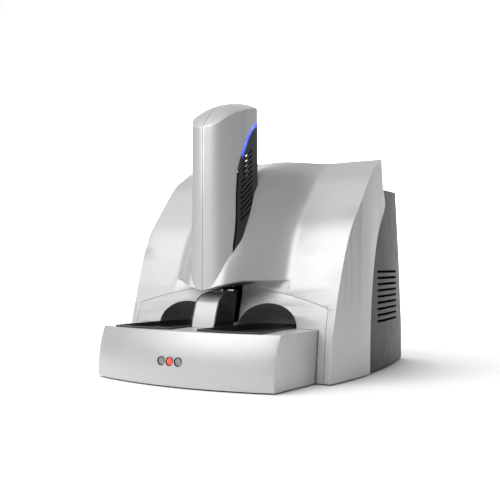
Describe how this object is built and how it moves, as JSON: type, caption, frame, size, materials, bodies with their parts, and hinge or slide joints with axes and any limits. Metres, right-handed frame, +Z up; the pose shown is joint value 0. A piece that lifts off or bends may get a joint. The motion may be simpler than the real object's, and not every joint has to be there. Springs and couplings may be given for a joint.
{
  "type": "bench-top light-curing unit",
  "caption": "Bench-top dental light-curing unit: lamp tower over a silver hood, curing bays with lift-out trays, light head between them, vented black rear housing.",
  "frame": {"origin": "on the bench, under the middle of the unit's overall box", "axes": "+X to the right seen from the front, +Y towards the rear, +Z up"},
  "size_m": [0.3474, 0.4446, 0.3849],
  "materials": {
    "silver_lacquer": "satin silver metallic lacquer",
    "black_housing": "fine-textured matt black",
    "tray_black": "dark grey satin rim",
    "pad_black": "glossy black",
    "tinted_window": "dark tinted, polished",
    "blue_light_pipe": "frosted, lit blue from inside",
    "clear_optics": "polished",
    "zinc_steel": "zinc plated sheet",
    "bright_steel": "bright plated",
    "aluminium": "bare",
    "circuit_board": "solder mask",
    "rubber": "soft matt",
    "dark_trim": "satin",
    "button_grey": "satin",
    "button_red": "lit red"
  },
  "bodies": {
    "body": {"front_console": "silver_lacquer", "hood_shell": "silver_lacquer", "bay_panel_right": "silver_lacquer", "bay_panel_left": "silver_lacquer", "rear_housing": "black_housing", "light_head_shell": "silver_lacquer", "light_head_frame": "black_housing", "light_window_right": "tinted_window", "light_window_left": "tinted_window", "tower_shell_right": "silver_lacquer", "tower_shell_left": "silver_lacquer", "tower_rear_cover": "black_housing", "glow_pipe_right": "blue_light_pipe", "glow_pipe_left": "blue_light_pipe", "lamp_column": "zinc_steel", "light_guide": "clear_optics", "head_prism": "clear_optics", "reflector": "aluminium", "led_board": "circuit_board", "heat_sink": "aluminium", "lamp_blower_housing": "black_housing", "fan_frame": "black_housing", "fan_guard": "bright_steel", "mains_inlet": "black_housing", "switch_frame": "black_housing", "rating_plate": "aluminium", "rear_screws": "bright_steel", "button_bezels": "dark_trim", "button_board": "circuit_board", "base_plate": "zinc_steel", "feet": "rubber", "power_supply": "zinc_steel", "control_board": "circuit_board", "board_spacers": "zinc_steel"},
    "tray_left": {"tray_left": "tray_black", "tray_pad_left": "pad_black"},
    "tray_right": {"tray_right": "tray_black", "tray_pad_right": "pad_black"},
    "left_button": {"left_button": "button_grey"},
    "start_button": {"start_button": "button_red"},
    "right_button": {"right_button": "button_grey"},
    "power_rocker": {"power_rocker": "dark_trim"},
    "fan_rotor": {"fan_rotor": "black_housing"},
    "lamp_blower_rotor": {"lamp_blower_rotor": "black_housing"}
  },
  "joints": [
    {"name": "left_tray_lift", "type": "slide", "parent": "body", "child": "tray_left", "axis": [0, 0, 1], "range_m": [0, 0.0095]},
    {"name": "right_tray_lift", "type": "slide", "parent": "body", "child": "tray_right", "axis": [0, 0, 1], "range_m": [0, 0.0095]},
    {"name": "left_button_press", "type": "slide", "parent": "body", "child": "left_button", "axis": [0, 1, 0], "range_m": [0, 0.0015], "stiffness_N_per_m": 300, "springref_m": -0.0006},
    {"name": "start_button_press", "type": "slide", "parent": "body", "child": "start_button", "axis": [0, 1, 0], "range_m": [0, 0.0015], "stiffness_N_per_m": 300, "springref_m": -0.0006},
    {"name": "right_button_press", "type": "slide", "parent": "body", "child": "right_button", "axis": [0, 1, 0], "range_m": [0, 0.0015], "stiffness_N_per_m": 300, "springref_m": -0.0006},
    {"name": "power_rocker_tilt", "type": "hinge", "parent": "body", "child": "power_rocker", "pos_m": [-0.044, 0.2147, 0.031], "axis": [1, 0, 0], "range_deg": [-8, 8]},
    {"name": "rear_fan_spin", "type": "hinge", "parent": "body", "child": "fan_rotor", "pos_m": [0.062, 0.19095, 0.15], "axis": [0, 0.9643, 0.2649], "continuous": true},
    {"name": "lamp_blower_spin", "type": "hinge", "parent": "body", "child": "lamp_blower_rotor", "pos_m": [0, -0.1073, 0.245], "axis": [0, 0, 1], "continuous": true}
  ]
}
